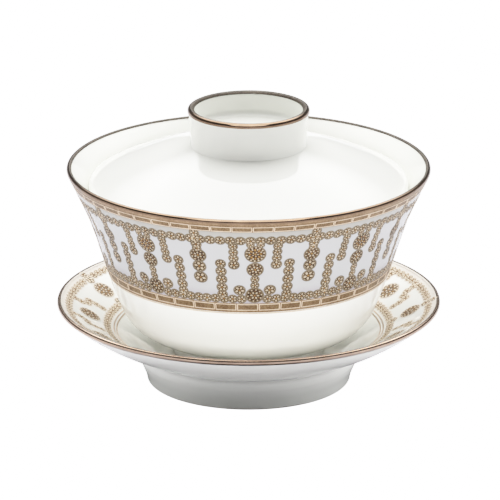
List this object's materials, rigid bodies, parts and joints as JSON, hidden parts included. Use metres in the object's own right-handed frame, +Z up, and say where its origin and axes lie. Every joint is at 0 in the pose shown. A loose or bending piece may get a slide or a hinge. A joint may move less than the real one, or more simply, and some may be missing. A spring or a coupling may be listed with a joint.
{
  "type": "gaiwan",
  "caption": "Covered tea bowl with a flared wall, a domed lid with an open ring knob, and a footed saucer, in white porcelain with gilded rims and a garland of rosettes.",
  "frame": {"origin": "centre of the saucer's foot ring on the surface it stands on", "axes": "+Z up along the common axis of the saucer, bowl and lid; X and Y level, the object is round"},
  "size_m": [0.1166, 0.1166, 0.0861],
  "materials": {
    "saucer_porcelain": "clear glossy glaze over white porcelain",
    "bowl_porcelain": "clear glossy glaze over white porcelain",
    "lid_porcelain": "clear glossy glaze over white porcelain",
    "gilding": "brushed antique gold, fired on",
    "transfer": "printed gold and brown transfer, fired on"
  },
  "bodies": {
    "saucer": {"saucer_body": "saucer_porcelain", "saucer_rim_gilding": "gilding", "saucer_garland_decal": "transfer", "saucer_well_line": "gilding"},
    "bowl": {"bowl_body": "bowl_porcelain", "bowl_rim_gilding": "gilding", "bowl_upper_border": "transfer", "bowl_garland_decal": "transfer", "bowl_lower_border": "transfer"},
    "lid": {"lid_body": "lid_porcelain", "lid_knob": "lid_porcelain", "knob_rim_gilding": "gilding"}
  },
  "joints": [
    {"name": "bowl_lift", "type": "slide", "parent": "saucer", "child": "bowl", "axis": [0, 0, 1], "range_m": [0, 0.05]},
    {"name": "lid_lift", "type": "slide", "parent": "bowl", "child": "lid", "axis": [0, 0, 1], "range_m": [0, 0.05]}
  ]
}
